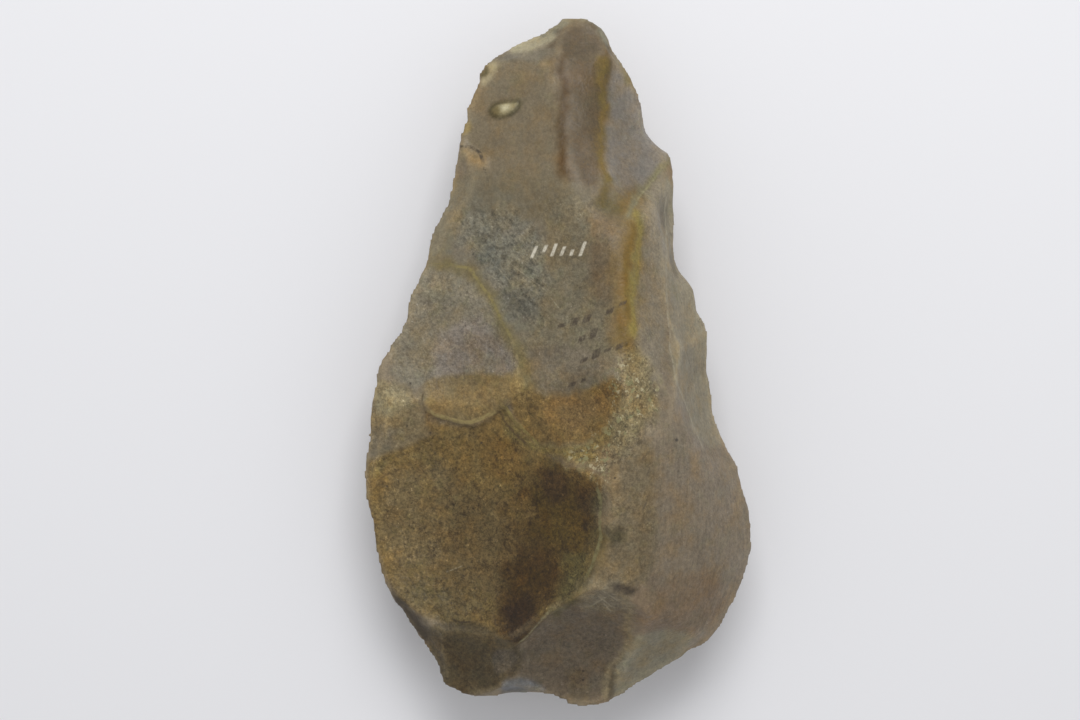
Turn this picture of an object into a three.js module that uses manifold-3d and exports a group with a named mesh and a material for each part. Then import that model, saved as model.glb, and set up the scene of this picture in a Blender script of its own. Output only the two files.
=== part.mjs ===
// A flint hand axe: one pear-shaped nodule knapped on both faces. It lies on its belly, tip towards +Y.
// It is made the way the stone was. A cobble with the axe's outline is built first, and then one flake
// after another is struck off it. Each flake leaves a shallow ball-shaped hollow, and where two hollows
// meet they leave a sharp ridge.

import * as THREE from "three";
import { mergeVertices } from "three/addons/utils/BufferGeometryUtils.js";
import Module from "manifold-3d";

const wasm = await Module();
wasm.setup();

// Driving sizes, in millimetres: along Y, across X, and from the bed to the highest ridge.
const LENGTH = 180;
const WIDTH = 101.5;
const HEIGHT = 52;

// Places on the stone are drawn in thousandths of its length, on a pattern of these proportions. The sizes
// of flakes are in millimetres.
const PATTERN_LENGTH = 1000;
const PATTERN_WIDTH = 563;
const PATTERN_HEIGHT = 289;
const at = (x, y, z) =>
  new THREE.Vector3(
    (x * WIDTH) / PATTERN_WIDTH,
    (y * LENGTH) / PATTERN_LENGTH,
    (z * HEIGHT) / PATTERN_HEIGHT,
  );

// The outline seen from above, clockwise from the tip: x across, y towards the tip.
const OUTLINE = [
  [24, 500], [50, 493], [71, 475], [87, 444], [103, 414], [111, 404], [120, 372], [127, 337], [142, 315],
  [162, 298], [167, 267], [167, 228], [170, 206], [168, 168], [175, 136], [194, 108], [203, 81], [219, 39],
  [219, 21], [215, -4], [222, -41], [229, -82], [247, -129], [258, -142], [263, -167], [277, -216],
  [282, -260], [280, -283], [263, -330], [237, -382], [216, -405], [190, -420], [161, -443], [120, -465],
  [81, -490], [56, -496], [25, -500], [-2, -490], [-24, -480], [-55, -481], [-84, -483], [-113, -485],
  [-154, -475], [-168, -467], [-177, -436], [-207, -391], [-225, -365], [-248, -335], [-254, -306],
  [-264, -271], [-267, -234], [-279, -187], [-281, -151], [-274, -114], [-270, -68], [-255, 2], [-229, 49],
  [-221, 84], [-210, 100], [-191, 145], [-181, 187], [-159, 231], [-148, 276], [-145, 311], [-138, 354],
  [-126, 384], [-104, 434], [-90, 443], [-55, 464], [-17, 480], [5, 497],
];
const RIM_POINTS = 170; // points round the cutting edge
const RIM = 0.4325 * HEIGHT; // mean height of the cutting edge above the bed
const RIM_SWAY = 1.44; // how far the edge waves up and down as it runs round
const RIM_WAVES = [[3, 1, -1.5], [8, 0.4, 0]]; // each wave's count round the edge, share and phase

// The cobble swells from the cutting edge to this spine: x, y, and how far it rises above the edge.
const SPINE = [[50, -330, 135], [62, -200, 156], [92, -60, 166], [102, 100, 160], [35, 390, 70]];
const BELLY = 0.87; // how far it sinks below the edge, as a share of that rise
const SWELL = 2; // 1 is a straight slope from edge to spine, 2 a full round one
const RINGS = 6;
const CAP = 0.06; // share of the way from spine to edge where the last ring stops and a cap closes it
const SOFTENING = 7; // how far to either side, in rim points, the rings above the edge are smoothed

// Corners on the upper face where ridges meet, or where a hollow runs out to the edge: x, y, height.
const CORNERS = {
  tip: [30, 495, 125],
  bevel_edge: [-40, 468, 131],
  tip_step_left: [-88, 433, 144],
  tip_step: [3, 436, 164],
  tip_step_right: [67, 431, 158],
  tip_left_foot: [-138, 277, 141],
  tip_foot: [7, 269, 206],
  band_foot: [76, 248, 217],
  right_tip_top: [80, 428, 139],
  shoulder: [158, 292, 139],
  crest_top: [103, 213, 244],
  crest_middle: [102, 44, 272],
  flank_top: [154, 254, 156],
  flank_upper: [152, 159, 200],
  flank_middle: [149, 44, 247],
  flank_low: [161, -6, 244],
  flank_foot: [223, -129, 156],
  right_edge_upper: [169, 145, 128],
  right_edge_middle: [217, 31, 131],
  right_edge_low: [220, -56, 125],
  arc_upper: [-159, 143, 154],
  arc_low: [-47, -30, 219],
  left_edge_middle: [-260, -27, 130],
  scar_top: [-129, 54, 163],
  scar_left: [-184, -44, 152],
  scar_foot: [-71, -47, 206],
  step_left: [-32, -37, 227],
  step_right: [69, -26, 270],
  band_low: [12, -108, 235],
  bowl_top_left: [-18, -61, 228],
  bowl_left_edge: [-272, -172, 130],
  bowl_right: [60, -192, 278],
  pocket_top: [56, -154, 272],
  pocket_left: [-42, -214, 206],
  pocket_foot: [49, -262, 256],
  bowl_left_low: [-232, -343, 133],
  bowl_right_low: [47, -291, 258],
  bowl_low: [-37, -387, 211],
  corner_left: [-193, -382, 147],
  corner_right: [-78, -411, 172],
  corner_edge: [-134, -478, 125],
  heel_top: [98, -334, 250],
  heel_crest: [-4, -343, 228],
  heel_left: [-78, -419, 183],
  heel_ridge: [98, -371, 228],
  heel_edge: [70, -482, 133],
  heel_right_edge: [192, -419, 131],
};

// Flakes off the upper face: the three corners that each hollow passes through, and its radius in mm.
const UPPER_FLAKES = {
  main_face: ["tip_left_foot", "crest_middle", "bowl_top_left", 450],
  tip_left_face: ["tip_step", "tip_foot", "tip_left_foot", 216],
  tip_band: ["tip_step", "tip_step_right", "band_foot", 270],
  tip_end: ["tip", "tip_step", "tip_step_right", 46.8],
  tip_left_bevel: ["tip_step_left", "bevel_edge", "tip_step", 90],
  tip_right_face: ["right_tip_top", "shoulder", "band_foot", 72],
  ridge_flank: ["crest_top", "flank_upper", "crest_middle", 162],
  ridge_flank_low: ["crest_middle", "flank_middle", "flank_low", 162],
  right_edge_top: ["flank_top", "flank_upper", "right_edge_upper", 108],
  right_flank: ["flank_upper", "flank_middle", "right_edge_middle", 63],
  right_flank_low: ["flank_low", "flank_foot", "right_edge_low", 63],
  heel_right: ["heel_ridge", "heel_edge", "heel_right_edge", 144],
  heel: ["heel_top", "heel_crest", "heel_left", 60],
  left_face: ["arc_upper", "arc_low", "left_edge_middle", 90],
  round_scar: ["scar_left", "scar_foot", "scar_top", 32.4],
  step: ["step_left", "step_right", "band_low", 50],
  bowl: ["bowl_right", "bowl_left_edge", "bowl_top_left", 82.8],
  bowl_pocket: ["pocket_top", "pocket_foot", "pocket_left", 36],
  bowl_low: ["bowl_right_low", "bowl_left_low", "bowl_low", 80],
  corner: ["corner_left", "corner_right", "corner_edge", 54],
};

// Broad flakes struck off the underside all the way round, with the least and greatest of what varies.
const LOWER_FLAKES = 11;
const LOWER_RADIUS = [81, 162];
const LOWER_REACH = [0.62, 0.8]; // how far in they run, as a share of the way from edge to spine
const LOWER_DRIFT = 0.3; // how far along the edge each may start late, as a share of its stretch
const LOWER_SINK = 0.95; // their depth at the inner end, as a share of the cobble's

// Small flakes nibbled off the edge: where on each face, as shares of the way round it from the tip.
const UPPER_NIBBLES = [
  0.031, 0.136, 0.173, 0.209, 0.288, 0.429, 0.49, 0.52, 0.58, 0.614, 0.649, 0.799, 0.901, 0.935,
];
const LOWER_NIBBLES = 16;
const NIBBLE_DRIFT = 0.8; // how far along the edge each lower one may start late, as a share of its stretch
const NIBBLE_RADIUS = [6.9, 16.2];
const NIBBLE_LEAN = [40, 63]; // degrees from level
const NIBBLE_DEPTH = 0.72;

const EDGE_BITE = 0.36; // how far any broad flake may cut into the edge
const BACK_OFF_STEPS = 4; // times a flake is moved out until it no longer bites deeper
const BALL_FACET = 5.4; // width of the flat faces that a hollow is made of
const BALL_DETAIL = [3, 50]; // least and greatest times a ball's twenty faces are split

const mix = THREE.MathUtils.lerp;

// A repeatable number from 0 to 1 for a whole number.
function chance(n) {
  const wave = Math.sin(n * 127.1 + 311.7) * 43758.5453;
  return wave - Math.floor(wave);
}

// The cutting edge as a closed run of points, waving gently in height.
function cuttingEdge() {
  const corners = OUTLINE.map(([x, y]) => at(x, y, 0));
  const curve = new THREE.CatmullRomCurve3(corners, true, "centripetal");
  const points = curve.getSpacedPoints(RIM_POINTS).slice(0, RIM_POINTS);
  points.forEach((point, i) => {
    const turn = (i / RIM_POINTS) * Math.PI * 2;
    point.z = RIM;
    for (const [count, share, phase] of RIM_WAVES) {
      point.z += RIM_SWAY * share * Math.sin(count * turn + phase);
    }
  });
  return points;
}

// The point of the spine beside a point of the outline; its z is the rise above the edge.
function onSpine({ y }) {
  const spine = SPINE.map((point) => at(...point));
  let k = 1;
  while (k < spine.length - 1 && y > spine[k].y) k += 1;
  const [from, to] = [spine[k - 1], spine[k]];
  return from.lerp(to, THREE.MathUtils.clamp((y - from.y) / (to.y - from.y), 0, 1));
}

// The mean of a closed run of points over a stretch to either side of one of them.
function smoothed(points, i, reach) {
  const sum = new THREE.Vector3();
  for (let k = -reach; k <= reach; k += 1) {
    sum.add(points[(i + k + points.length) % points.length]);
  }
  return sum.divideScalar(2 * reach + 1);
}

// A closed shape as a solid that can be cut.
function solid(geometry) {
  geometry.deleteAttribute("normal");
  geometry.deleteAttribute("uv");
  const merged = mergeVertices(geometry, 1e-4);
  return new wasm.Manifold(
    new wasm.Mesh({
      numProp: 3,
      vertProperties: merged.attributes.position.array,
      triVerts: new Uint32Array(merged.index.array),
    }),
  );
}

// Triangles that close a narrow ring by zipping its two long sides together from the tip down.
function zipped(ring, first, facesUp) {
  const faces = [];
  let right = 0;
  let left = ring.length - 1;
  while (right + 1 < left) {
    const dropRight = ring[right + 1].y > ring[left - 1].y;
    const next = dropRight ? right + 1 : left - 1;
    faces.push(...(facesUp ? [left, next, right] : [right, next, left]).map((i) => first + i));
    if (dropRight) right = next;
    else left = next;
  }
  return faces;
}

// The cobble: rings of the cutting edge, drawn in towards the spine above and below it.
function cobble(edge) {
  const rings = [];
  for (let k = RINGS; k >= -RINGS; k -= 1) {
    const inset = Math.abs(k) / RINGS;
    const swell = Math.sign(k) * (1 - (1 - inset) ** SWELL);
    edge.forEach((point, i) => {
      const core = onSpine(point);
      const outer = smoothed(edge, i, Math.round(inset * SOFTENING));
      const ring = outer.lerp(core, inset * (1 - CAP));
      ring.z = mix(point.z, RIM, inset) + swell * core.z * (k > 0 ? 1 : BELLY);
      rings.push(ring);
    });
  }
  const faces = [];
  const last = 2 * RINGS;
  for (let i = 0; i < RIM_POINTS; i += 1) {
    const j = (i + 1) % RIM_POINTS;
    for (let r = 0; r < last; r += 1) {
      const [a, b] = [r * RIM_POINTS + i, r * RIM_POINTS + j];
      const [c, d] = [a + RIM_POINTS, b + RIM_POINTS];
      faces.push(a, b, c, b, d, c);
    }
  }
  faces.push(...zipped(rings.slice(0, RIM_POINTS), 0, true));
  faces.push(...zipped(rings.slice(-RIM_POINTS), last * RIM_POINTS, false));
  const geometry = new THREE.BufferGeometry().setFromPoints(rings);
  geometry.setIndex(faces);
  return solid(geometry);
}

// The hollow of one flake: the ball that passes through three points and stands on the outer side of them,
// backed off where it would bite into the edge. side is 1 for the upper face, -1 for the underside.
function flake(a, b, c, radius, side, edge) {
  const ab = b.clone().sub(a);
  const ac = c.clone().sub(a);
  const normal = ab.clone().cross(ac);
  const toMiddle = normal.clone().cross(ab).multiplyScalar(ac.lengthSq());
  toMiddle.add(ac.clone().cross(normal).multiplyScalar(ab.lengthSq()));
  toMiddle.divideScalar(2 * normal.lengthSq());
  const outward = normal.normalize().multiplyScalar(Math.sign(normal.z) * side);
  const stand = Math.sqrt(Math.max(radius ** 2 - toMiddle.lengthSq(), 0));
  const centre = a.clone().add(toMiddle).addScaledVector(outward, stand);
  const reach = Math.hypot(stand, toMiddle.length());
  for (let step = 0; step < BACK_OFF_STEPS; step += 1) {
    const bite = reach - Math.min(...edge.map((point) => point.distanceTo(centre)));
    centre.addScaledVector(outward, Math.max(bite - EDGE_BITE, 0));
  }
  return ball(centre, reach);
}

function ball(centre, radius) {
  const detail = THREE.MathUtils.clamp(Math.round(radius / BALL_FACET), ...BALL_DETAIL);
  const shape = new THREE.IcosahedronGeometry(radius, detail);
  shape.translate(centre.x, centre.y, centre.z);
  return solid(shape);
}

// Broad flakes struck off the underside, each from a stretch of the edge in towards the belly.
function lowerFlakes(edge) {
  const made = [];
  const stretch = RIM_POINTS / LOWER_FLAKES;
  for (let n = 0; n < LOWER_FLAKES; n += 1) {
    const start = Math.floor((n + LOWER_DRIFT * chance(n)) * stretch);
    const a = edge[start % RIM_POINTS];
    const b = edge[(start + Math.round(stretch)) % RIM_POINTS];
    const core = onSpine(a.clone().lerp(b, 0.5));
    const reach = mix(...LOWER_REACH, chance(n + 40));
    const sink = LOWER_SINK * BELLY * core.z * (1 - (1 - reach) ** SWELL);
    const c = new THREE.Vector3(mix(a.x, core.x, reach), mix(a.y, core.y, reach), RIM - sink);
    made.push(flake(a, b, c, mix(...LOWER_RADIUS, chance(n + 20)), -1, edge));
  }
  return made;
}

// One small flake nibbled off the edge of one face.
function nibble(edge, share, side) {
  const place = Math.floor(share * RIM_POINTS) % RIM_POINTS;
  const here = edge[place];
  const ahead = edge[(place + 1) % RIM_POINTS];
  const outward = new THREE.Vector3(here.y - ahead.y, ahead.x - here.x, 0).normalize();
  const radius = mix(...NIBBLE_RADIUS, chance(place));
  const lean = THREE.MathUtils.degToRad(mix(...NIBBLE_LEAN, chance(place + 0.5)));
  const out = outward.clone().multiplyScalar(Math.sin(lean));
  out.z = side * Math.cos(lean);
  return ball(here.clone().addScaledVector(outward, -NIBBLE_DEPTH).addScaledVector(out, radius), radius);
}

const edge = cuttingEdge();
const corner = (name) => at(...CORNERS[name]);
let stone = cobble(edge);
for (const [a, b, c, radius] of Object.values(UPPER_FLAKES)) {
  stone = stone.subtract(flake(corner(a), corner(b), corner(c), radius, 1, edge));
}
for (const hollow of lowerFlakes(edge)) stone = stone.subtract(hollow);
for (const share of UPPER_NIBBLES) stone = stone.subtract(nibble(edge, share, 1));
for (let n = 0; n < LOWER_NIBBLES; n += 1) {
  stone = stone.subtract(nibble(edge, (n + NIBBLE_DRIFT * chance(n + 300)) / LOWER_NIBBLES, -1));
}

// The flat it rests on.
const bed = new THREE.BoxGeometry(2 * WIDTH, 2 * LENGTH, HEIGHT);
bed.translate(0, 0, -HEIGHT / 2);
stone = stone.subtract(solid(bed));

const cut = stone.getMesh();
const geometry = new THREE.BufferGeometry();
geometry.setAttribute("position", new THREE.BufferAttribute(cut.vertProperties, 3));
geometry.setIndex(new THREE.BufferAttribute(cut.triVerts, 1));
geometry.computeBoundingBox();

const flint = new THREE.MeshStandardMaterial({ color: 0x7d6f5c, roughness: 0.55, metalness: 0 });
const axe = new THREE.Mesh(geometry, flint);
axe.name = "flint_axe";
// The origin is on the bed, under the middle of the stone.
const middle = geometry.boundingBox.getCenter(new THREE.Vector3());
axe.position.set(-middle.x, -middle.y, 0);
const part = new THREE.Group();
part.add(axe);

export default part;
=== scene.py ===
import bpy
import numpy as np
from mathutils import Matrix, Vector


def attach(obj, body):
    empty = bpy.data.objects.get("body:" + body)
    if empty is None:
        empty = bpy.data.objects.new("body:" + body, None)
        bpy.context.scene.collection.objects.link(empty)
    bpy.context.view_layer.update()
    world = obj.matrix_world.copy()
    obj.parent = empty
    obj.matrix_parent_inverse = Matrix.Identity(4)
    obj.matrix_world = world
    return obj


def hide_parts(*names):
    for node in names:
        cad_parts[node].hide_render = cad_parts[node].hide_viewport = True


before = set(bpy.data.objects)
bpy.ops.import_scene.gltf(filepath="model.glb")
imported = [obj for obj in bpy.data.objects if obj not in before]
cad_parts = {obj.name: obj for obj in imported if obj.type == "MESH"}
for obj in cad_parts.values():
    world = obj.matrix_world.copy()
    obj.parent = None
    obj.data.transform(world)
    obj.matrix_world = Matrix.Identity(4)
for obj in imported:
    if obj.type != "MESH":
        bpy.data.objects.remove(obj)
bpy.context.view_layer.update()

# Camera
# It looks straight down on the stone as it lies, with the tip at the top of the frame. Places on the upper
# face are given below in the pixels of that frame, and each is carried down onto the stone.
EYE = Vector((-0.0046, 0.0004, 0.622))
EDGE_HEIGHT = 0.022  # of the cutting edge above the floor
FRAME_PIXELS = (1080, 720)
PIXEL = 0.262  # millimetres at the height of the cutting edge
SENSOR = 36

lens_distance = EYE.z - EDGE_HEIGHT
camera_data = bpy.data.cameras.new("camera")
camera_data.sensor_width = SENSOR
camera_data.lens = SENSOR * lens_distance * 1000 / (FRAME_PIXELS[0] * PIXEL)
camera = bpy.data.objects.new("camera", camera_data)
camera.location = EYE
bpy.context.scene.collection.objects.link(camera)
bpy.context.scene.camera = camera

# Stone: its form
# One flint nodule knapped on both faces, then worn by long use and burial. The flakes are the solid's own:
# its mesh is made even and fine, and smoothed inside each scar while the ridges between scars are kept.
MESH_SIZE = 0.00069
RIDGE_ANGLE = 4.5  # degrees: a bend well under this is smoothed away, one well over it stays a ridge
SMOOTHING = 60
SETTLING = 24

cad_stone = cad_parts["flint_axe"]
stone = bpy.data.objects.new("knapped_flint", cad_stone.data.copy())
bpy.context.scene.collection.objects.link(stone)
even = stone.modifiers.new("even_mesh", "REMESH")
even.mode = "VOXEL"
even.voxel_size = MESH_SIZE
evaluated = stone.evaluated_get(bpy.context.evaluated_depsgraph_get())
fine_mesh = bpy.data.meshes.new_from_object(evaluated)
stone.modifiers.clear()
stone.data = fine_mesh

points = np.empty(len(fine_mesh.vertices) * 3)
fine_mesh.vertices.foreach_get("co", points)
points = points.reshape(-1, 3) * 1000
quads = np.empty(len(fine_mesh.loops), dtype=int)
fine_mesh.loops.foreach_get("vertex_index", quads)
quads = quads.reshape(-1, 4)


def unit(vectors):
    return vectors / np.maximum(np.linalg.norm(vectors, axis=1, keepdims=True), 1e-12)


def gathered(where, values, count):
    """The sum of values over each place they belong to."""
    return np.stack([np.bincount(where, column, count) for column in values.T], axis=1)


def face_normals():
    a, b, c, d = (points[quads[:, k]] for k in range(4))
    return unit(np.cross(c - a, d - b))


def point_normals(normals):
    total = np.zeros_like(points)
    for k in range(4):
        total += gathered(quads[:, k], normals, len(points))
    return unit(total)


def neighbours():
    """Pairs of faces that share a side."""
    ends = np.stack([quads, np.roll(quads, -1, axis=1)])
    key = (ends.min(0) * len(points) + ends.max(0)).ravel()
    order = np.argsort(key, kind="stable")
    same = key[order][1:] == key[order][:-1]
    return order[:-1][same] // 4, order[1:][same] // 4


def seen():
    """Where the camera sees each point, in pixels of the frame."""
    eye = np.array(EYE) * 1000
    spread = lens_distance * 1000 / (eye[2] - points[:, 2]) / PIXEL
    across = FRAME_PIXELS[0] / 2 + (points[:, 0] - eye[0]) * spread
    down = FRAME_PIXELS[1] / 2 - (points[:, 1] - eye[1]) * spread
    return np.stack([across, down], axis=1)


def smooth_step(low, high, values):
    t = np.clip((values - low) / (high - low), 0, 1)
    return t * t * (3 - 2 * t)


def rounded(corners, closed):
    """A smooth curve through a few corners."""
    corners = np.array(corners, float)
    count = len(corners)
    run = []
    for i in range(count if closed else count - 1):
        if closed:
            before, here, there, after = (corners[(i + k) % count] for k in (-1, 0, 1, 2))
        else:
            before, here, there, after = (corners[min(max(i + k, 0), count - 1)] for k in (-1, 0, 1, 2))
        for t in np.arange(0, 1, 0.2):
            bend = (2 * before - 5 * here + 4 * there - after) * t * t
            twist = (3 * here - before - 3 * there + after) * t ** 3
            run.append(0.5 * (2 * here + (there - before) * t + bend + twist))
    if not closed:
        run.append(corners[-1])
    return np.array(run)


def distance_to(run, closed, place):
    """How far each place is from a curve, in pixels; inside a closed one it is negative."""
    nearest = np.full(len(place), np.inf)
    inside = np.zeros(len(place), bool)
    ends = np.roll(run, -1, axis=0) if closed else run[1:]
    for a, b in zip(run, ends):
        span = b - a
        share = np.clip(((place - a) @ span) / max(span @ span, 1e-9), 0, 1)
        nearest = np.minimum(nearest, np.linalg.norm(place - a - share[:, None] * span, axis=1))
        if closed and a[1] != b[1]:
            crosses = (a[1] > place[:, 1]) != (b[1] > place[:, 1])
            where = a[0] + (place[:, 1] - a[1]) * span[0] / span[1]
            inside ^= crosses & (place[:, 0] < where)
    return np.where(inside, -nearest, nearest)


# Ridges that are only the edges of the solid's flat strips, not of scars, are smoothed away here.
WELL_ROUNDED = [
    [(622, 440), (680, 440), (742, 480), (748, 560), (700, 630), (650, 612), (620, 560)],
    [(380, 462), (470, 456), (540, 462), (585, 530), (585, 575), (530, 600), (400, 590), (372, 540)],
    [(535, 372), (560, 362), (590, 364), (606, 374), (590, 392), (545, 396)],
    [(528, 376), (560, 372), (600, 410), (614, 440), (610, 474), (580, 468), (545, 425)],
    [(648, 172), (694, 176), (716, 296), (676, 300), (652, 235)],
    [(436, 370), (470, 364), (508, 368), (512, 392), (480, 406), (448, 404), (430, 392)],
    [(608, 205), (640, 210), (648, 300), (642, 355), (612, 350), (608, 280)],
    [(550, 66), (592, 62), (606, 150), (616, 195), (634, 250), (612, 262), (585, 215), (560, 180)],
]

normals = face_normals()
first, second = neighbours()
centres = points[quads].mean(axis=1)
view = seen()[quads].mean(axis=1)
softer = np.zeros(len(quads))
for zone in WELL_ROUNDED:
    inner = smooth_step(0, -12, distance_to(rounded(zone, True), True, view))
    softer = np.maximum(softer, inner * (normals[:, 2] > 0))
keen = 2 * np.sin(np.radians(RIDGE_ANGLE) / 2)
for _ in range(SMOOTHING):
    gap = ((normals[first] - normals[second]) ** 2).sum(axis=1)
    pull = np.maximum(np.exp(-gap / (2 * keen ** 2)), np.minimum(softer[first], softer[second]))[:, None]
    total = normals + gathered(first, pull * normals[second], len(quads))
    normals = unit(total + gathered(second, pull * normals[first], len(quads)))
valence = np.bincount(quads.ravel(), minlength=len(points))[:, None]
for _ in range(SETTLING):
    centres = points[quads].mean(axis=1)
    shift = np.zeros_like(points)
    for k in range(4):
        lift = ((centres - points[quads[:, k]]) * normals).sum(axis=1)
        shift += gathered(quads[:, k], lift[:, None] * normals, len(points))
    points += shift / valence

# Stone: relief finer than the solid's
# What wear, frost and small knocks left: gentle waves, a sugary grain in the big scar, worn ridges, lips and
# steps where small flakes broke short, and small notches of the cutting edge. Heights are in millimetres.
SEED = 7
LATTICE_SIDE = 32
lattice = np.random.default_rng(SEED).random((LATTICE_SIDE, LATTICE_SIDE, LATTICE_SIDE))


def cloudy(size, shift):
    """Soft random blotches of about one size, in millimetres, from -1 to 1."""
    place = points / size + shift
    cell = np.floor(place).astype(int)
    t = place - cell
    t = t * t * (3 - 2 * t)
    total = np.zeros(len(points))
    for corner in np.ndindex(2, 2, 2):
        at = (cell + corner) % LATTICE_SIDE
        weight = np.prod(np.where(np.array(corner) == 1, t, 1 - t), axis=1)
        total += weight * lattice[at[:, 0], at[:, 1], at[:, 2]]
    return 2 * total - 1


def blurred(values, passes):
    """Each point's values drawn towards those of the faces round it, again and again."""
    for _ in range(passes):
        middles = values[quads].mean(axis=1)
        total = sum(gathered(quads[:, k], middles, len(points)) for k in range(4))
        values = total / valence
    return values


# The borders of the patches below waver by this many pixels, in blotches of this many millimetres, and with
# this shift of the noise.
WAVERING = [(5, 6.5, 3), (3, 2.2, 13), (1.5, 0.9, 23)]

normal = point_normals(face_normals())
upward = smooth_step(-0.05, 0.2, normal[:, 2])
sight = seen()
waver = sight
for pixels, size, shift in WAVERING:
    waver = waver + pixels * np.stack([cloudy(size, shift), cloudy(size, shift + 6)], axis=1)


def standing_out(passes):
    """Millimetres that each point stands out of what lies round it: under 0 in hollows. More passes of
    the blur take in a wider reach."""
    return ((points - blurred(points, passes)) * normal).sum(axis=1)


proud = standing_out(10)
broad = standing_out(150)
fine = standing_out(4)
worn_round = np.zeros(len(points))
for zone in WELL_ROUNDED:
    inner = smooth_step(6, -12, distance_to(rounded(zone, True), True, sight))
    worn_round = np.maximum(worn_round, inner * upward)
ridge = smooth_step(0.03, 0.16, proud) * (1 - worn_round)
sharp = smooth_step(0.25, 0.6, proud)
furrow = smooth_step(0.02, 0.12, -proud)

CRISP = 4  # the softest border that still follows a ridge, in pixels
RAGGED = 7  # the softness, in pixels, over which a border wavers more
STEADINESS = 0.3  # the share of the wavering that is left in crisp borders and thin lines
steady = sight + STEADINESS * (waver - sight)


def area(corners, soft, place=None):
    """1 inside a patch of the upper face, falling to 0 across a soft border, in pixels."""
    if place is None:
        place = sight + max(1, soft / RAGGED) * (waver - sight) if soft > CRISP else steady
    away = distance_to(rounded(corners, True), True, place)
    return smooth_step(soft, -soft, away) * upward


def along(corners, width, place=None):
    """1 on a line on the upper face, falling to 0 at its width, in pixels."""
    away = distance_to(rounded(corners, False), False, waver if place is None else place)
    return np.exp(-((away / width) ** 2)) * upward


BOWL = [
    (366, 470), (376, 458), (395, 450), (440, 432), (480, 430), (540, 452), (560, 464), (598, 474),
    (605, 495), (601, 525), (597, 556), (584, 588), (560, 606), (540, 622), (522, 642), (505, 640),
    (480, 628), (440, 622), (400, 600), (376, 545),
]
# Waves and grain: the height and the size of each, in millimetres, and its shift of the noise.
WAVES = [(0.16, 13, 1), (0.07, 5.5, 2), (0.03, 2.2, 5)]
BOWL_GRAIN = [(0.09, 1.6, 8), (0.08, 3.1, 11)]
RIDGE_WEAR = [(0.25, 2.6, 21)]
EDGE_NOTCHES = [(0.7, 3.4, 25), (0.25, 1.5, 27)]
EDGE_KEPT = 0.7  # millimetres that the smoothing took off the cutting edge, put back below
TIP = (577, 20)
TIP_REACH = 22  # pixels
TIP_FULLNESS = 0.5  # millimetres more at the tip

bowl = area(BOWL, CRISP)
rise = sum(high * cloudy(size, shift) for high, size, shift in WAVES)
rise += bowl * sum(high * cloudy(size, shift) for high, size, shift in BOWL_GRAIN)
rise -= ridge * sum(high * np.maximum(cloudy(size, shift), 0) for high, size, shift in RIDGE_WEAR)
rim = blurred(smooth_step(0.15, 0.45, proud)[:, None], 5)
fuller = EDGE_KEPT - sum(high * np.maximum(cloudy(size, shift), 0) for high, size, shift in EDGE_NOTCHES)
fuller += TIP_FULLNESS * np.exp(-((np.linalg.norm(sight - TIP, axis=1) / TIP_REACH) ** 2))
outward = rim * fuller[:, None] * unit(blurred(normal, 5))


def beside(corners, place):
    """How far each place is from a line through a few corners, over 0 on the right hand of the line as it
    runs and under 0 on the left, and how far it is from the nearer of the line's two ends, in pixels."""
    run = rounded(corners, False)
    away = distance_to(run, False, place)
    nearest = np.argmin(((place[:, None] - run[None, ::2]) ** 2).sum(axis=2), axis=1) * 2
    nearest = np.minimum(nearest, len(run) - 2)
    ahead = run[nearest + 1] - run[nearest]
    over = place - run[nearest]
    side = ahead[:, 0] * over[:, 1] - ahead[:, 1] * over[:, 0]
    ends = np.minimum(np.linalg.norm(place - run[0], axis=1), np.linalg.norm(place - run[-1], axis=1))
    return np.where(side > 0, away, -away), ends


def broken_short(corners, drop, reach):
    """A step: the surface falls by drop along a line and comes back level over its reach, in pixels.
    The low side is on the right hand of the line as it runs."""
    away, ends = beside(corners, sight)
    low_side = np.maximum(away, 0)
    fall = np.where(away > 0, np.exp(-low_side / reach), 0)
    return -drop * smooth_step(0, 2, low_side) * fall * smooth_step(0, 10, ends) * upward


# Each step: the points it runs through, its drop in millimetres and its reach in pixels.
STEPS = {
    "under the tip": ([(492, 60), (520, 61), (556, 60)], 0.35, 14),
    "left of the tip": ([(484, 160), (478, 152), (470, 147), (463, 146)], 1.3, 8),
    "chip at the left of the tip": ([(496, 64), (490, 68), (488, 76), (482, 84)], 0.3, 8),
    "lip under the round scar": (
        [(424, 388), (423, 402), (430, 414), (450, 421), (477, 426), (497, 412), (510, 402)],
        1.0, 16,
    ),
    "lip under the middle": ([(497, 403), (512, 420), (530, 435), (548, 450)], 0.7, 14),
    "corner crack": ([(448, 616), (460, 621), (475, 624), (500, 636)], 0.6, 14),
    "round scar's edge": ([(516, 646), (505, 648), (495, 655), (494, 668), (500, 676)], 0.35, 10),
    "under the lip": ([(514, 646), (528, 637), (540, 622), (552, 612), (562, 607)], 0.45, 10),
}
for corners, drop, reach in STEPS.values():
    rise += broken_short(corners, drop, reach)

# A pale lump near the tip in a shallow moat, a small round scar at the corner and a low lip beside it.
INCLUSION = [(489, 112), (494, 105), (505, 102), (519, 102), (516, 110), (507, 116), (495, 117)]
INCLUSION_RIM = INCLUSION + INCLUSION[:1]
SMALL_ROUND_SCAR = (505, 660)
LOW_LIP = [(500, 652), (520, 645), (542, 617), (560, 602)]
rise += 0.35 * area(INCLUSION, 2, sight) - 0.3 * along(INCLUSION_RIM, 2, sight)
rise -= 0.35 * smooth_step(12, 6, np.linalg.norm(sight - SMALL_ROUND_SCAR, axis=1)) * upward
rise += 0.25 * along(LOW_LIP, 3, sight)
points += rise[:, None] * normal + outward
points[:, 2] = np.maximum(points[:, 2], 0)
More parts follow.
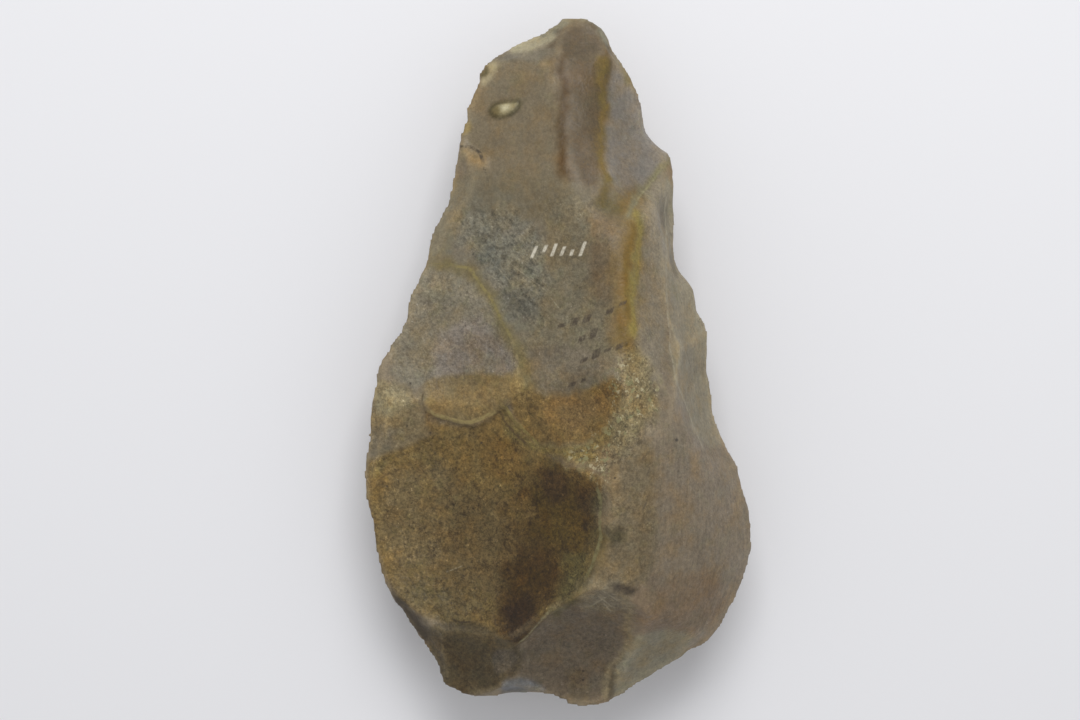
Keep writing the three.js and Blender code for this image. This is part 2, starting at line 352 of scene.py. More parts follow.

# Stone: its colours
# A brown and grey patina that differs from scar to scar, rusty and ochre along some ridges, with pale knocks
# and a dark rough bowl, and painted highlights on ridges and lips and painted shade in hollows, furrows and
# the bowl's steep wall. Colours are 0 to 255 as the eye sees them.
def tone(red, green, blue):
    share = np.array([red, green, blue]) / 255
    return np.where(share < 0.04045, share / 12.92, ((share + 0.055) / 1.055) ** 2.4)


# Each patch: its colour, the softness of its border and the corners of its outline.
PATCHES = {
    "tip face": ((114, 102, 80), 5, [(487, 62), (556, 60), (560, 171), (465, 171), (462, 120), (470, 90)]),
    "crest": ((85, 71, 49), 6, [(572, 45), (608, 60), (605, 120), (604, 172), (576, 174)]),
    "right of the tip": (
        (116, 109, 99), 4,
        [
            (612, 72), (640, 95), (650, 130), (668, 155), (655, 178), (640, 195), (620, 200), (608, 170),
            (608, 110),
        ],
    ),
    "tip end": ((87, 74, 54), 4, [(545, 30), (575, 20), (600, 28), (610, 55), (560, 58)]),
    "strip under the tip": ((102, 94, 78), 3, [(495, 53), (556, 48), (557, 59), (490, 61)]),
    "cream chip": ((142, 133, 106), 4, [(507, 47), (525, 38), (548, 30), (555, 36), (540, 47), (515, 53)]),
    "tan chip": ((144, 132, 103), 2.5, [(483, 68), (493, 63), (498, 67), (491, 80), (482, 85)]),
    "green of the tan chip": ((72, 65, 38), 2, [(480, 70), (487, 66), (488, 73), (481, 79)]),
    "cream nick": ((131, 113, 73), 2.5, [(461, 124), (470, 122), (471, 130), (463, 134)]),
    "top of the main face": ((106, 96, 75), 6, [(450, 175), (565, 174), (600, 205), (560, 220), (440, 220)]),
    "blue streaks": (
        (113, 109, 94), 22,
        [(460, 214), (500, 206), (530, 222), (548, 260), (550, 330), (515, 315), (480, 265), (458, 240)],
    ),
    "main face": (
        (111, 102, 81), 8,
        [(545, 205), (612, 205), (616, 330), (604, 380), (552, 396), (527, 380), (522, 335), (548, 265)],
    ),
    "dark of the blue streaks": (
        (101, 101, 91), 8,
        [(478, 238), (492, 243), (502, 262), (490, 270), (477, 256)],
    ),
    "second dark of the blue streaks": (
        (93, 89, 76), 8,
        [(508, 288), (528, 295), (538, 313), (520, 314), (508, 300)],
    ),
    "warm side of the main face": ((104, 90, 68), 8, [(590, 205), (622, 205), (618, 300), (592, 285)]),
    "strip right of the crest": (
        (123, 113, 94), 4,
        [(640, 195), (664, 182), (665, 330), (655, 392), (635, 380), (632, 300)],
    ),
    "steep right side": (
        (130, 121, 100), 5,
        [
            (664, 185), (685, 205), (702, 270), (716, 330), (728, 410), (712, 450), (690, 420), (672, 370),
            (666, 300),
        ],
    ),
    "left margin": (
        (115, 106, 85), 5,
        [(452, 180), (470, 186), (455, 240), (425, 300), (395, 342), (382, 335), (410, 295), (438, 225)],
    ),
    "left face": (
        (121, 113, 95), 6,
        [(440, 268), (482, 282), (505, 330), (520, 375), (430, 385), (398, 382), (392, 345), (412, 300)],
    ),
    "round scar": (
        (136, 126, 113), 7,
        [(432, 350), (450, 328), (480, 322), (507, 345), (512, 372), (470, 380), (436, 376)],
    ),
    "shelf": (
        (123, 106, 71), 4,
        [(430, 380), (470, 374), (508, 378), (510, 402), (477, 424), (450, 420), (432, 412), (425, 396)],
    ),
    "rusty hollow": (
        (115, 93, 52), 5,
        [
            (512, 380), (530, 387), (552, 398), (585, 393), (612, 378), (624, 400), (608, 428), (570, 442),
            (540, 440), (510, 416),
        ],
    ),
    "grey by the hollow": (
        (110, 100, 82), 4,
        [(528, 352), (560, 345), (600, 356), (613, 370), (590, 387), (560, 393), (540, 386)],
    ),
    "red of the hollow": ((119, 95, 56), 9, [(548, 400), (590, 396), (602, 410), (580, 424), (550, 422)]),
    "olive of the hollow": ((138, 116, 71), 7, [(506, 376), (520, 374), (530, 390), (522, 404), (508, 396)]),
    "crushed ridge": (
        (121, 108, 77), 6,
        [(622, 352), (645, 355), (653, 400), (640, 440), (612, 472), (590, 455), (600, 432), (620, 400)],
    ),
    "above the bowl": (
        (120, 106, 77), 6,
        [(372, 385), (412, 388), (425, 418), (440, 430), (380, 452), (364, 440)],
    ),
    "below the shelf": (
        (122, 99, 55), 6,
        [
            (426, 414), (450, 425), (480, 428), (498, 414), (520, 430), (548, 452), (520, 450), (480, 436),
            (440, 434),
        ],
    ),
    "grey above the bowl": ((103, 93, 73), 5, [(372, 432), (384, 426), (394, 434), (390, 452), (374, 458)]),
    "below the rusty hollow": (
        (112, 97, 56), 6,
        [(500, 418), (540, 440), (575, 442), (606, 430), (600, 462), (560, 458), (520, 448)],
    ),
    "cream spot": (
        (128, 119, 92), 9,
        [(374, 398), (384, 386), (400, 390), (402, 404), (390, 414), (377, 412)],
    ),
    "bowl": ((108, 89, 50), 4, BOWL),
    "left of the bowl": (
        (107, 91, 59), 12,
        [(385, 480), (430, 460), (470, 500), (455, 570), (400, 590), (380, 530)],
    ),
    "foot of the bowl": (
        (95, 82, 52), 10,
        [(402, 585), (450, 580), (480, 600), (470, 620), (430, 618), (408, 602)],
    ),
    "grey of the bowl": (
        (95, 79, 48), 14,
        [(455, 500), (500, 495), (515, 530), (505, 590), (470, 590), (450, 550)],
    ),
    # The dark patches of the bowl below are partly its dark patina and partly painted shade on its steep
    # right wall and its foot.
    "shade of the bowl": (
        (70, 52, 25), 22,
        [
            (520, 480), (560, 472), (590, 478), (600, 520), (595, 560), (565, 602), (525, 640), (500, 632),
            (500, 590), (520, 550),
        ],
    ),
    "orange of the bowl": ((107, 84, 42), 9, [(483, 434), (515, 440), (525, 470), (505, 482), (482, 470)]),
    "dark of the bowl": (
        (77, 60, 23), 15,
        [
            (530, 484), (550, 475), (576, 477), (596, 490), (599, 520), (596, 545), (580, 556), (550, 548),
            (530, 530),
        ],
    ),
    "dark foot of the bowl": (
        (64, 46, 15), 15,
        [(518, 560), (556, 562), (568, 584), (550, 602), (532, 626), (514, 642), (500, 630), (502, 598)],
    ),
    "darkest of the bowl": ((66, 48, 22), 6, [(543, 476), (565, 475), (570, 496), (552, 503), (543, 492)]),
    "darkest by its rim": ((71, 53, 26), 6, [(577, 484), (593, 490), (597, 511), (582, 513)]),
    "darkest of its foot": ((49, 34, 15), 7, [(503, 606), (530, 598), (534, 626), (512, 638)]),
    "green of the bowl": ((84, 75, 42), 6, [(562, 556), (592, 556), (582, 584), (562, 600), (566, 578)]),
    "cheek": (
        (119, 107, 89), 8,
        [(655, 430), (715, 452), (750, 520), (742, 580), (700, 640), (640, 600), (620, 540), (625, 470)],
    ),
    "left of the cheek": (
        (108, 96, 73), 8,
        [(612, 462), (648, 440), (655, 560), (622, 600), (598, 578), (606, 520)],
    ),
    "foot of the cheek": ((112, 96, 76), 10, [(640, 585), (722, 580), (695, 640), (632, 632)]),
    "heel": (
        (101, 89, 72), 4,
        [(545, 625), (590, 592), (628, 602), (625, 645), (606, 698), (545, 692), (515, 668)],
    ),
    "top of the heel": ((115, 105, 84), 6, [(578, 586), (625, 582), (628, 606), (588, 614)]),
    "right of the heel": ((124, 117, 97), 4, [(630, 640), (692, 634), (662, 682), (612, 697)]),
    "smudge by the cheek": ((70, 62, 43), 5, [(607, 527), (622, 529), (621, 539), (609, 539)]),
    "smudge over the heel": ((61, 53, 43), 5, [(617, 585), (635, 588), (631, 599), (615, 597)]),
    "corner scar": (
        (73, 62, 41), 4,
        [(430, 628), (450, 621), (475, 624), (515, 645), (520, 668), (490, 692), (450, 690), (430, 650)],
    ),
    "round scar by the corner": (
        (82, 73, 59), 3,
        [(497, 652), (512, 650), (518, 662), (510, 674), (496, 672), (491, 662)],
    ),
    "bevel under the heel": ((99, 99, 99), 3, [(502, 684), (520, 678), (545, 686), (540, 693), (505, 694)]),
    "ochre of the heel": ((35, 24, 7), 4, [(604, 672), (612, 662), (614, 690), (606, 697)]),
    "dark margin": ((60, 50, 36), 5, [(386, 590), (405, 600), (430, 632), (420, 650), (392, 620)]),
}

# Each streak: its colour, its half width and the points it runs through.
STREAKS = {
    "tip rim": ((112, 108, 90), 4, [(545, 31), (560, 22), (578, 19), (598, 24), (609, 38)]),
    "right rim of the tip": ((111, 101, 73), 2.5, [(611, 46), (622, 70), (632, 88), (640, 96)]),
    "left rusty line": ((74, 55, 24), 8, [(562, 60), (563, 110), (564, 172)]),
    "right rusty line": ((103, 86, 43), 4, [(600, 60), (603, 120), (606, 200)]),
    "ochre knee": ((78, 67, 24), 12, [(606, 200), (622, 206)]),
    "rusty band": ((106, 84, 36), 12, [(636, 200), (629, 240), (628, 300), (625, 345)]),
    "yellow side of the rusty band": ((124, 110, 56), 5, [(641, 212), (638, 255), (635, 300), (636, 335)]),
    "ochre end of the arc": ((118, 98, 52), 6, [(517, 352), (524, 366), (528, 384)]),
    "olive ridge": ((112, 104, 76), 4, [(668, 160), (655, 178), (640, 195), (632, 212)]),
    "yellow arc": (
        (111, 100, 69), 7,
        [
            (440, 262), (455, 265), (473, 272), (485, 290), (495, 305), (505, 325), (513, 341), (522, 360),
            (527, 381),
        ],
    ),
    "orange rim of the bowl": ((108, 92, 55), 4, [(372, 476), (382, 466), (398, 460), (420, 455)]),
    "green rim of the bowl": ((83, 73, 45), 7, [(600, 500), (597, 550), (580, 590), (556, 612)]),
    "pale shoulder": ((117, 103, 78), 8, [(605, 450), (613, 480), (608, 520)]),
    "ochre heel ridge": ((123, 110, 84), 4, [(628, 602), (628, 625), (625, 645), (612, 665), (606, 695)]),
    "tan under the scar": ((138, 118, 84), 5, [(466, 153), (476, 161), (486, 162)]),
}

# Each thin line: its colour, its width, its strength and the points it runs through.
LINES = {
    # A painted highlight: this pale line along the crest of the steep right side stands for light catching
    # the ridge.
    "crest": (
        (160, 152, 130), 1.3, 0.5,
        [(666, 190), (667, 250), (668, 320), (674, 370), (690, 415), (706, 452)],
    ),
    # A painted highlight on the crest of the lip under the round scar, and painted shade in the dark hinge
    # line where its edge drops away.
    "lip": ((146, 130, 84), 4, 0.9, [(425, 409), (437, 415), (455, 421), (475, 422), (497, 411)]),
    "hinge": ((76, 62, 38), 2, 0.8, [(424, 390), (422, 399), (424, 408)]),
    "yellow of the arc": (
        (140, 127, 76), 3, 0.6,
        [(448, 264), (462, 266), (473, 272), (485, 290), (495, 305), (505, 325), (513, 341)],
    ),
    "olive ridge": ((140, 134, 98), 2, 0.5, [(667, 162), (655, 178), (641, 196), (634, 207)]),
    # A painted highlight on the crest of the yellow lip, and painted shade in the dark line under it.
    "yellow lip": ((142, 126, 74), 4, 0.9, [(499, 404), (512, 420), (530, 435), (542, 446)]),
    "under the yellow lip": ((74, 58, 36), 2.5, 0.8, [(493, 410), (506, 425), (523, 441), (533, 449)]),
    "foot of the bowl": ((138, 130, 98), 1.8, 0.8, [(516, 645), (528, 636), (540, 621), (553, 610)]),
    "corner crack": ((52, 42, 32), 1.8, 0.8, [(448, 617), (460, 621), (474, 623)]),
    # Painted shade: the dark line along the step where a small flake broke short.
    "step": ((60, 50, 36), 3.5, 0.9, [(454, 147), (464, 146), (473, 148), (481, 155), (484, 165)]),
    "right edge of the grey": ((96, 82, 54), 2, 0.5, [(536, 386), (548, 394), (570, 394), (590, 388)]),
    "bowl's green edge": (
        (122, 115, 78), 3, 0.75,
        [(596, 484), (601, 505), (600, 535), (594, 560), (585, 582)],
    ),
}

# The crushed part of the middle ridge and of the rim of the bowl, where cream chips and dark specks show.
CRUSHED = [
    (606, 372), (628, 360), (650, 374), (660, 398), (642, 422), (622, 450), (610, 484), (592, 470),
    (570, 458), (596, 432), (612, 406),
]

# Patches with a coarser grain than the rest, by how much, and those with streaks along the stone.
ROUGHER = {
    "crushed ridge": 1, "rusty hollow": 0.6, "above the bowl": 0.45, "left face": 0.35, "round scar": 0.35,
    "blue streaks": 0.4, "main face": 0.3, "shelf": 0.3, "corner scar": 0.45, "heel": 0.25, "cheek": 0.1,
    "left of the cheek": 0.3, "below the rusty hollow": 0.7, "below the shelf": 0.6,
    "strip right of the crest": 0.15,
}
UPRIGHT = ["cheek", "crest", "right of the tip", "steep right side", "heel", "right of the heel"]

# The stone's own colour, and the rust and the grey in clouds on the side it lies on.
GROUND = (119, 107, 88)
UNDER_RUST = (112, 92, 62)
UNDER_GREY = (118, 112, 100)

colour = np.tile(tone(*GROUND), (len(points), 1))


def lay(shade, mask):
    global colour
    colour = colour + mask[:, None] * (tone(*shade) - colour)


lay(UNDER_RUST, smooth_step(0, 0.6, cloudy(17, 4)) * (1 - upward))
lay(UNDER_GREY, smooth_step(0, 0.6, cloudy(21, 14)) * (1 - upward))
for shade, soft, corners in PATCHES.values():
    lay(shade, area(corners, soft))
for shade, width, corners in STREAKS.values():
    lay(shade, along(corners, width))

# Colour that follows the form: pale on ridges, partly wear and partly painted highlight, tan wear on the
# cutting edge, and painted shade, dark in furrows.
RIDGE_WEAR_AND_HIGHLIGHT = (143, 130, 102)
EDGE_WORN = (138, 116, 80)
FURROW_SHADE = (70, 60, 44)
lay(RIDGE_WEAR_AND_HIGHLIGHT, 0.14 * ridge * smooth_step(-0.3, 0.5, cloudy(4.5, 31)) * upward)
lay(EDGE_WORN, 0.2 * sharp * smooth_step(-0.4, 0.4, cloudy(6, 33)))
lay(FURROW_SHADE, 0.25 * furrow * upward)

# Painted highlight and painted shade: ridges are painted paler and hollows darker, both broadly and close up.
colour *= 1 + 0.1 * np.clip((broad - 0.25) / 0.8, -1, 1)[:, None]
close_shade_and_highlight = 0.04 * np.clip(proud / 0.12, -1, 1) + 0.11 * np.clip(fine / 0.04, -1, 1)
colour *= 1 + (close_shade_and_highlight * (1 - 0.8 * worn_round))[:, None]

# The pale lump near the tip, with one shaded side and a glint, in its darker moat.
INCLUSION_CREAM = (148, 138, 104)
INCLUSION_SHADE = ((104, 94, 62), [(489, 109), (496, 104), (501, 112), (495, 117)])
INCLUSION_GLINT = ((186, 178, 146), [(502, 106), (510, 104), (510, 109), (503, 111)])
MOAT_OLIVE = (70, 62, 38)
lay(INCLUSION_CREAM, area(INCLUSION, 2, sight))
lay(INCLUSION_SHADE[0], area(INCLUSION_SHADE[1], 2.5, sight))
lay(INCLUSION_GLINT[0], area(INCLUSION_GLINT[1], 2, sight) * 0.8)
lay(MOAT_OLIVE, along(INCLUSION_RIM, 2.3, sight) * 0.9)

fine_mesh.vertices.foreach_set("co", (points / 1000).ravel())
fine_mesh.update()
fine_mesh.shade_smooth()


def keep(name, kind, values):
    fine_mesh.attributes.new(name, kind, "POINT")
    key = "color" if kind == "FLOAT_COLOR" else "vector"
    fine_mesh.attributes[name].data.foreach_set(key, np.ascontiguousarray(values, dtype=np.float32).ravel())


for number, (*_, corners) in enumerate(LINES.values()):
    away, ends = beside(corners, steady)
    keep("line_%d" % number, "FLOAT_VECTOR", np.column_stack([away, smooth_step(0, 8, ends), upward]))
keep("patina_and_painted_light", "FLOAT_COLOR", np.column_stack([np.clip(colour, 0, 1), np.ones(len(points))]))
grain = 0.3 + 0.7 * bowl
for name, extra in ROUGHER.items():
    grain = np.maximum(grain, 0.3 + extra * area(PATCHES[name][2], 8))
slanting = area(PATCHES["blue streaks"][2], 12)
upright = np.zeros(len(points))
for name in UPRIGHT:
    upright = np.maximum(upright, area(PATCHES[name][2], 8))
keep("finish", "FLOAT_COLOR", np.column_stack([grain, slanting, upright, area(CRUSHED, 10)]))
keep("sight", "FLOAT_VECTOR", np.column_stack([sight, upward]))

# Stone: its material
# Bare flint with a satin skin: fine mottling, sandy grain, dark and pale specks, thin lines at the borders of
# the scars, and faded strokes of paint and ink. The colours laid on the mesh above are what it starts from.
flint = bpy.data.materials.new("flint")
flint.use_nodes = True
nodes = flint.node_tree.nodes
links = flint.node_tree.links
shader = nodes["Principled BSDF"]


def made(kind, inputs=None, **settings):
    """A node with its settings and its inputs, which are numbers, colours or other nodes' outputs."""
    new = nodes.new(kind)
    for name, value in settings.items():
        setattr(new, name, value)
    for key, value in (inputs or {}).items():
        if isinstance(value, bpy.types.NodeSocket):
            links.new(value, new.inputs[key])
        else:
            new.inputs[key].default_value = value
    return new


def attribute(name, output):
    return made("ShaderNodeAttribute", attribute_name=name).outputs[output]


def sum_of(operation, *values):
    return made("ShaderNodeMath", dict(enumerate(values)), operation=operation).outputs[0]


def ranged(value, low, high, to_low, to_high):
    inputs = {"Value": value, "From Min": low, "From Max": high, "To Min": to_low, "To Max": to_high}
    return made("ShaderNodeMapRange", inputs).outputs["Result"]


place = made("ShaderNodeTexCoord").outputs["Object"]


def noisy(millimetres, seed, detail, roughness):
    inputs = {"Vector": place, "W": seed, "Scale": 1000 / millimetres}
    inputs |= {"Detail": detail, "Roughness": roughness}
    return made("ShaderNodeTexNoise", inputs, noise_dimensions="4D").outputs["Fac"]


def streaky(wide, long, turn, seed):
    """Noise drawn out along one line of the upper face, its sizes in millimetres and its turn in degrees."""
    spin = {"Vector": place, "Angle": np.radians(turn)}
    spun = made("ShaderNodeVectorRotate", spin, rotation_type="Z_AXIS").outputs[0]
    scale = (1000 / wide, 1000 / long, 1000 / wide)
    drawn = made("ShaderNodeVectorMath", {0: spun, 1: scale}, operation="MULTIPLY").outputs[0]
    inputs = {"Vector": drawn, "W": seed, "Scale": 1, "Detail": 4, "Roughness": 0.7}
    return made("ShaderNodeTexNoise", inputs, noise_dimensions="4D").outputs["Fac"]


def mixed(factor, one, other, blend="MIX"):
    new = nodes.new("ShaderNodeMix")
    new.data_type = "RGBA"
    new.blend_type = blend
    for key, value in ((0, factor), (6, one), (7, other)):
        if isinstance(value, bpy.types.NodeSocket):
            links.new(value, new.inputs[key])
        else:
            new.inputs[key].default_value = value
    return new.outputs[2]


def paint(red, green, blue):
    return (*tone(red, green, blue), 1)


patina_and_painted_light = attribute("patina_and_painted_light", "Color")
finish = made("ShaderNodeSeparateColor", {"Color": attribute("finish", "Color")}).outputs
crushed = attribute("finish", "Alpha")
grainy, slanting, upright = finish[0], finish[1], finish[2]
sight_socket = attribute("sight", "Vector")
facing_up = made("ShaderNodeSeparateXYZ", {"Vector": sight_socket}).outputs["Z"]

# Cloudy mottling, warmer in some blotches and greyer in others, as shares of the colour under it.
WARMER = (1.12, 1, 0.8)
COOLER = (0.94, 0.99, 1.02)
warm = ranged(noisy(7, 1, 5, 0.65), 0.46, 0.66, 0, 1)
patina_and_painted_light = mixed(warm, patina_and_painted_light, (*WARMER, 1), "MULTIPLY")
cool = ranged(noisy(4.5, 2, 5, 0.7), 0.5, 0.68, 0, 1)
patina_and_painted_light = mixed(cool, patina_and_painted_light, (*COOLER, 1), "MULTIPLY")
cloud = ranged(noisy(5, 3, 3, 0.6), 0.3, 0.7, -1, 1)

# Sandy grain, coarser in the bowl, and fine streaks down the smooth scars and across the face.
sand = ranged(noisy(1.0, 4, 3, 0.9), 0.4, 0.6, -1, 1)
down = ranged(streaky(0.9, 9, 0, 5), 0.38, 0.62, -1, 1)
across = ranged(streaky(1.0, 6, -50, 6), 0.4, 0.6, -1, 1)
value = sum_of("ADD", 1, sum_of("MULTIPLY", cloud, 0.08))
value = sum_of("ADD", value, sum_of("MULTIPLY", sand, ranged(grainy, 0, 1, 0.03, 0.36)))
value = sum_of("ADD", value, sum_of("MULTIPLY", down, sum_of("MULTIPLY", upright, 0.09)))
value = sum_of("ADD", value, sum_of("MULTIPLY", across, sum_of("MULTIPLY", slanting, 0.24)))
scaled = made("ShaderNodeVectorMath", {0: patina_and_painted_light, 1: value}, operation="MULTIPLY").outputs[0]

# Blotches and grains with ragged borders, more of them where the grain is coarse: each kind's size in
# millimetres, how much of the surface it leaves clear, its least and greatest strength, and what its
# colour is to the colour round it.
BLOTCHES = [
    (8, 0.52, 0.2, 0.45, (0.66, 0.63, 0.6)),
    (5.5, 0.54, 0.2, 0.35, (0.92, 1, 0.8)),
    (4.3, 0.55, 0.1, 0.55, (1.45, 1.42, 1.35)),
    (2.6, 0.55, 0.0, 0.7, (0.48, 0.44, 0.42)),
    (2.1, 0.56, 0.0, 0.55, (1.6, 1.62, 1.75)),
    (1.1, 0.6, 0.2, 0.6, (0.3, 0.28, 0.28)),
    (0.9, 0.62, 0.08, 0.6, (2.8, 3, 3.8)),
]
for seed, (size, clear, least, most, shade) in enumerate(BLOTCHES):
    share = ranged(noisy(size, 40 + seed, 4, 0.75), clear, clear + 0.06, 0, 1)
    share = sum_of("MULTIPLY", share, ranged(grainy, 0.2, 1, least, most))
    scaled = mixed(share, scaled, (*shade, 1), "MULTIPLY")

# Olive patches, cream chips and dark specks of the crushed ridge: their size in millimetres, how much of
# the ridge they leave clear and their colour.
CRUSHED_BITS = [(3.4, 0.55, (134, 130, 92)), (1.7, 0.58, (182, 172, 138)), (1.6, 0.59, (62, 58, 42))]
for seed, (size, clear, shade) in enumerate(CRUSHED_BITS):
    share = ranged(noisy(size, 60 + seed, 4, 0.75), clear, clear + 0.04, 0, 0.75)
    scaled = mixed(sum_of("MULTIPLY", share, crushed), scaled, paint(*shade))

# Thin lines, broken here and there: lips, hinges and cracks at the borders of the scars; the pale lines on
# the crest and the lips are painted highlights, and the dark lines at the hinge, under the yellow lip and
# along the step are painted shade.
gaps = noisy(1.6, 20, 3, 0.7)
for number, (shade, width, strength, corners) in enumerate(LINES.values()):
    held = made("ShaderNodeSeparateXYZ", {"Vector": attribute("line_%d" % number, "Vector")}).outputs
    on_line = ranged(sum_of("ABSOLUTE", held["X"]), width / 2 + 0.6, width / 2 - 0.6, 0, 1)
    on_line = sum_of("MULTIPLY", on_line, sum_of("MULTIPLY", held["Y"], held["Z"]))
    broken = ranged(gaps, 0.38, 0.55, 0.2 * strength, strength)
    scaled = mixed(sum_of("MULTIPLY", on_line, broken), scaled, paint(*shade))

# Dark nicks along the smooth scars.
NICK_DARK = (74, 66, 58)
nicks = ranged(streaky(0.7, 2.4, 25, 14), 0.6, 0.66, 0, 0.55)
scaled = mixed(sum_of("MULTIPLY", nicks, upright), scaled, paint(*NICK_DARK))

# Faded marks: short strokes of paint and ink in rows, and scratches. They are colour only.
wear = noisy(0.8, 9, 3, 0.7)


def turned(start, end):
    """How far along a line from start to end and how far beside it the camera sees each place, in pixels."""
    ahead = (Vector(end) - Vector(start)).normalized()
    moved = made("ShaderNodeVectorMath", {0: sight_socket, 1: (*start, 0)}, operation="SUBTRACT").outputs[0]
    sides = []
    for way in ((ahead.x, ahead.y, 0), (-ahead.y, ahead.x, 0)):
        far = made("ShaderNodeVectorMath", {0: moved, 1: way}, operation="DOT_PRODUCT")
        sides.append(far.outputs["Value"])
    return sides


def within(value, middle, reach, soft):
    """1 where a value is within reach of a middle, falling to 0 over a soft border."""
    away = sum_of("ABSOLUTE", sum_of("SUBTRACT", value, middle))
    if isinstance(reach, bpy.types.NodeSocket):
        return ranged(sum_of("SUBTRACT", away, reach), soft, -soft, 0, 1)
    return ranged(away, reach + soft, reach - soft, 0, 1)


def marks(base, start, end, pitch, tall, thick, lean, shade, strength):
    """A row of strokes from start to end, one to each pitch, each a little different."""
    along_row, aside = turned(start, end)
    cell = sum_of("FLOOR", sum_of("DIVIDE", along_row, pitch))
    chance = made("ShaderNodeTexWhiteNoise", {"W": sum_of("ADD", cell, start[1])}, noise_dimensions="1D")
    parts = made("ShaderNodeSeparateColor", {"Color": chance.outputs["Color"]}).outputs
    middle = sum_of("MULTIPLY", sum_of("ADD", cell, 0.5), pitch)
    slope = sum_of("ADD", sum_of("MULTIPLY", parts[0], 0.12), lean)
    middle = sum_of("SUBTRACT", middle, sum_of("MULTIPLY", aside, slope))
    stroke = within(along_row, middle, thick / 2, 0.6)
    height = sum_of("MULTIPLY", sum_of("ADD", sum_of("MULTIPLY", parts[1], 0.7), 0.3), tall / 2)
    lifted = sum_of("MULTIPLY", sum_of("SUBTRACT", parts[2], 0.5), tall * 0.4)
    stroke = sum_of("MULTIPLY", stroke, within(aside, lifted, height, 0.8))
    length = (Vector(end) - Vector(start)).length
    stroke = sum_of("MULTIPLY", stroke, within(along_row, length / 2, length / 2, 0.5))
    worn = ranged(wear, 0.35, 0.55, 0.35 * strength, strength)
    return mixed(sum_of("MULTIPLY", sum_of("MULTIPLY", stroke, worn), facing_up), base, paint(*shade))


# Each row: where it starts and ends. Each kind of stroke: how far apart, how tall and how thick, in pixels,
# its lean, its colour and its strength.
WHITE_PAINT = (205, 198, 180)
DARK_INK = (62, 52, 42)
PENCIL = (92, 82, 66)
PAINTED_ROW = ((530, 251), (587, 250))
INK_ROWS = [
    ((556, 326), (594, 316)), ((576, 341), (600, 330)), ((578, 362), (624, 343)), ((604, 312), (628, 303)),
    ((566, 386), (586, 380)),
]
PENCIL_ROW = ((576, 78), (574, 176))
painted = {"pitch": 9.5, "tall": 17, "thick": 3.2, "lean": 0.35, "shade": WHITE_PAINT, "strength": 0.9}
inked = {"pitch": 13, "tall": 8, "thick": 8, "lean": 0.7, "shade": DARK_INK, "strength": 0.8}
pencilled = {"pitch": 7, "tall": 12, "thick": 1.4, "lean": 0.5, "shade": PENCIL, "strength": 0.5}
scaled = marks(scaled, *PAINTED_ROW, **painted)
for row in INK_ROWS:
    scaled = marks(scaled, *row, **inked)
scaled = marks(scaled, *PENCIL_ROW, **pencilled)

# Small dark pits: where each is and how wide, in pixels.
PITS = [
    ((583, 671), 2.2), ((583, 680), 2), ((410, 383), 1.6), ((430, 433), 1.8), ((481, 443), 2),
    ((451, 603), 1.6), ((387, 486), 2), ((407, 426), 1.4), ((677, 440), 3), ((572, 615), 1.5),
    ((615, 478), 2.2),
]
PIT_DARK = (46, 38, 30)
level = {0: sight_socket, 1: (1, 1, 0)}
flat_sight = made("ShaderNodeVectorMath", level, operation="MULTIPLY").outputs[0]
for centre, width in PITS:
    apart = {0: flat_sight, 1: (*centre, 0)}
    away = made("ShaderNodeVectorMath", apart, operation="DISTANCE").outputs["Value"]
    scaled = mixed(ranged(away, width / 2 + 0.7, width / 2 - 0.5, 0, 0.75), scaled, paint(*PIT_DARK))

# Pale scratches: where each starts and ends and how thick it is, in pixels.
SCRATCHES = [
    ((551, 298), (559, 308), 1.2), ((446, 352), (458, 345), 1.1), ((590, 607), (606, 597), 1.1),
    ((508, 262), (548, 292), 0.9), ((498, 268), (510, 281), 0.9), ((598, 596), (612, 607), 1.2),
    ((602, 590), (618, 601), 1.1), ((604, 604), (611, 612), 1.3), ((446, 572), (462, 566), 1),
]
SCRATCH_PALE = (170, 160, 134)
faint = ranged(wear, 0.4, 0.6, 0.05, 0.45)
for start, end, thick in SCRATCHES:
    along_line, aside = turned(start, end)
    half = (Vector(end) - Vector(start)).length / 2
    line = sum_of("MULTIPLY", within(aside, 0, thick / 2, 0.5), within(along_line, half, half, 1))
    scaled = mixed(sum_of("MULTIPLY", line, faint), scaled, paint(*SCRATCH_PALE))

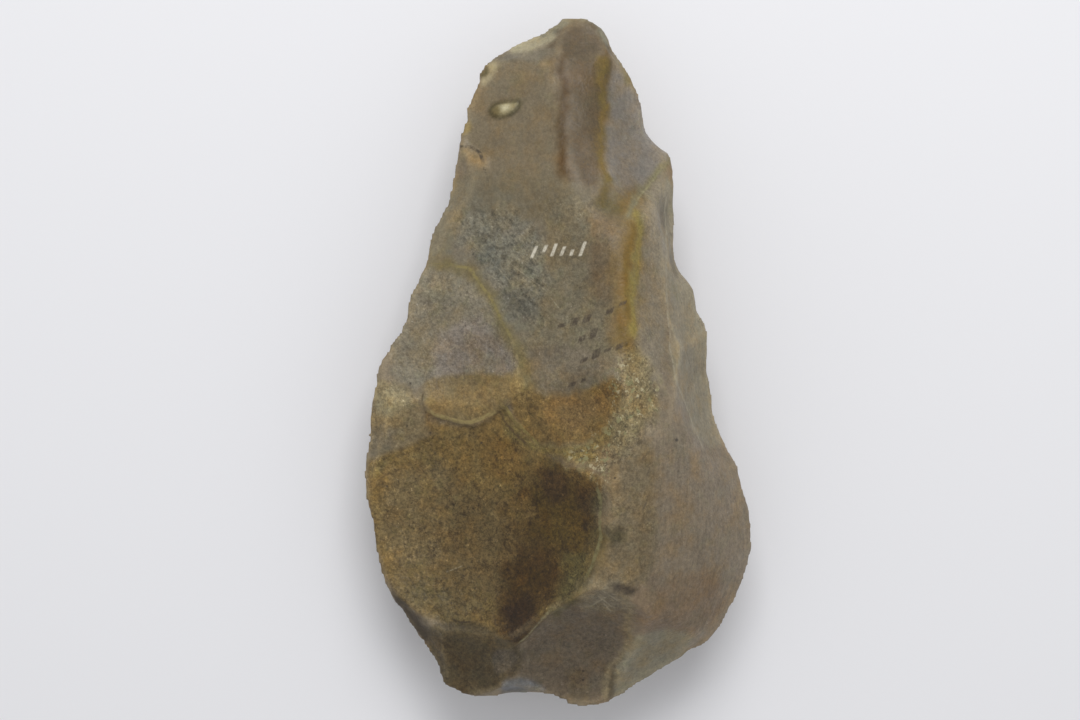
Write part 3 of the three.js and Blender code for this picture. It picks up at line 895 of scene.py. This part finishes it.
# The skin is satin, a little glossier in some clouds than in others, with fine bumps too small for the mesh.
BUMP_DEPTH = 0.0005
links.new(scaled, shader.inputs["Base Color"])
links.new(ranged(noisy(5, 10, 3, 0.6), 0.35, 0.65, 0.42, 0.6), shader.inputs["Roughness"])
shader.inputs["Specular IOR Level"].default_value = 0.35
height = sum_of("ADD", noisy(0.7, 11, 3, 0.55), sum_of("MULTIPLY", noisy(2.2, 12, 2, 0.55), 1.5))
rough_to_touch = ranged(grainy, 0, 1, 0.2, 0.5)
bump = made("ShaderNodeBump", {"Height": height, "Strength": rough_to_touch, "Distance": BUMP_DEPTH})
links.new(bump.outputs["Normal"], shader.inputs["Normal"])

fine_mesh.materials.clear()
fine_mesh.materials.append(flint)
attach(stone, "root")
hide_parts("flint_axe")

# Floor and light
# A plain pale floor under one large soft light beyond the tip, with pale light from all round.
FLOOR_SIDE = 3
FLOOR_COLOUR = (0.8, 0.8, 0.82, 1)
LAMP_SIZE = 0.6
LAMP_POWER = 6
LAMP_PLACE = (0.06, 0.62, 0.75)
STONE_MIDDLE = Vector((0, 0, 0.02))
ROOM_COLOUR = (0.98, 0.985, 1, 1)
ROOM_LIGHT = 0.58

floor_mesh = bpy.data.meshes.new("floor")
side = FLOOR_SIDE / 2
floor_mesh.from_pydata(
    [(-side, -side, 0), (side, -side, 0), (side, side, 0), (-side, side, 0)], [], [(0, 1, 2, 3)]
)
floor = bpy.data.objects.new("floor", floor_mesh)
bpy.context.scene.collection.objects.link(floor)
pale = bpy.data.materials.new("pale_floor")
pale.use_nodes = True
matt = pale.node_tree.nodes["Principled BSDF"]
matt.inputs["Base Color"].default_value = FLOOR_COLOUR
matt.inputs["Roughness"].default_value = 0.9
floor_mesh.materials.append(pale)

lamp_data = bpy.data.lights.new("window", "AREA")
lamp_data.shape = "SQUARE"
lamp_data.size = LAMP_SIZE
lamp_data.energy = LAMP_POWER
lamp = bpy.data.objects.new("window", lamp_data)
lamp.location = LAMP_PLACE
lamp.rotation_euler = (STONE_MIDDLE - lamp.location).to_track_quat("-Z", "Y").to_euler()
bpy.context.scene.collection.objects.link(lamp)

world = bpy.data.worlds.new("pale_room")
world.use_nodes = True
background = world.node_tree.nodes["Background"]
background.inputs["Color"].default_value = ROOM_COLOUR
background.inputs["Strength"].default_value = ROOM_LIGHT
bpy.context.scene.world = world
bpy.context.scene.view_settings.view_transform = "Standard"
